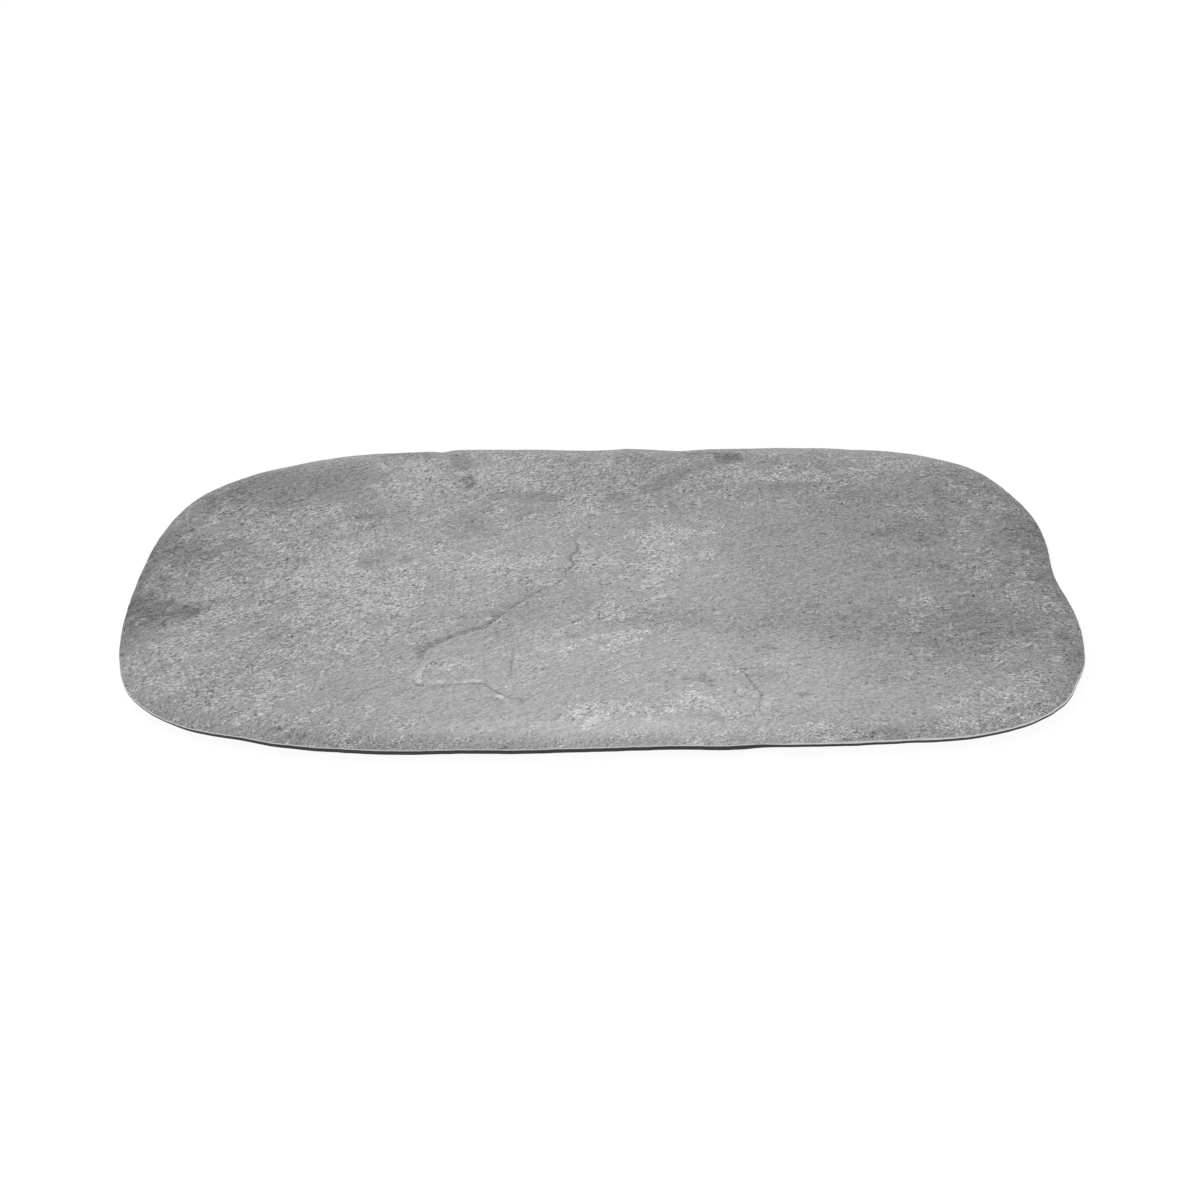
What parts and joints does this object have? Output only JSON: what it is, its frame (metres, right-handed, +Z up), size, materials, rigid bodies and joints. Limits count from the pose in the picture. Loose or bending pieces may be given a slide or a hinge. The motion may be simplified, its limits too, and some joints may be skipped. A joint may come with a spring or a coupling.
{
  "type": "serving platter",
  "caption": "Low rectangular serving platter with an uneven, softly rolled edge: grey stone-look melamine face on a black moulded base with non-slip feet.",
  "frame": {"origin": "on the table, under the middle of the platter's plan box", "axes": "+X along the length, -Y towards the side that the picture shows in front, +Z up out of the serving face"},
  "size_m": [0.53, 0.325, 0.01],
  "materials": {
    "stone_face": "matte grey melamine printed and embossed like riven stone",
    "black_base": "satin black melamine moulding",
    "foot": "matt black silicone"
  },
  "bodies": {
    "root": {"stone_face": "stone_face", "black_base": "black_base", "foot_front_left": "foot", "foot_front_right": "foot", "foot_back_left": "foot", "foot_back_right": "foot"}
  },
  "joints": []
}
